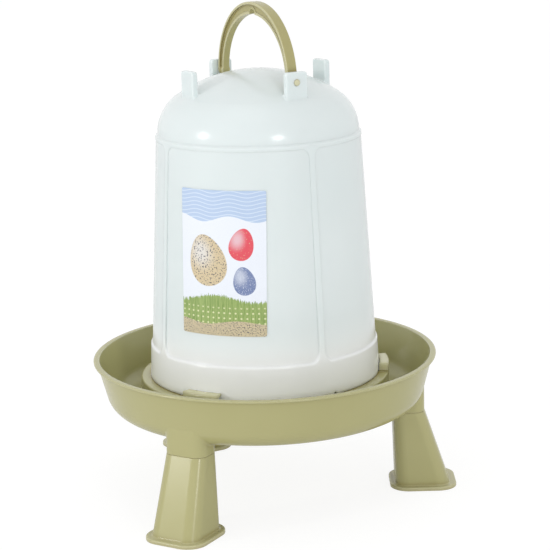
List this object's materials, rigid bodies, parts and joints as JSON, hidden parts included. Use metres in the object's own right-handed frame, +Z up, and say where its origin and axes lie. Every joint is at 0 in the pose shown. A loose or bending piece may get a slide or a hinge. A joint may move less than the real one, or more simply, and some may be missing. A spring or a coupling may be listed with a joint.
{
  "type": "poultry drinker",
  "caption": "Bell-shaped water tank locked mouth down on a round drinking basin that stands on hollow legs, with a swinging bail handle on the dome.",
  "frame": {"origin": "on the axis of the tank and basin, at the level of the floor under the feet", "axes": "+Z up along the tank's axis; +X through one of the two lugs that carry the handle; the handle's plane is XZ at rest; the legs stand at -60, 60 and 180 degrees from +X"},
  "size_m": [0.2925, 0.2812, 0.3962],
  "materials": {
    "tank_plastic": "satin translucent polyethylene",
    "stand_plastic": "glossy moulded polypropylene",
    "handle_plastic": "glossy moulded polypropylene",
    "label_film": "semi-matt printed film"
  },
  "bodies": {
    "stand": {"basin": "stand_plastic", "leg_front": "stand_plastic", "leg_rear": "stand_plastic", "leg_left": "stand_plastic"},
    "tank": {"tank": "tank_plastic", "label": "label_film"},
    "handle": {"handle": "handle_plastic"}
  },
  "joints": [
    {"name": "tank_twist", "type": "hinge", "parent": "stand", "child": "tank", "pos_m": [0, 0, 0.0992], "axis": [0, 0, 1], "range_deg": [0, 20]},
    {"name": "handle_swing", "type": "hinge", "parent": "tank", "child": "handle", "pos_m": [0, 0, 0.3388], "axis": [1, 0, 0], "range_deg": [-76, 76]}
  ]
}
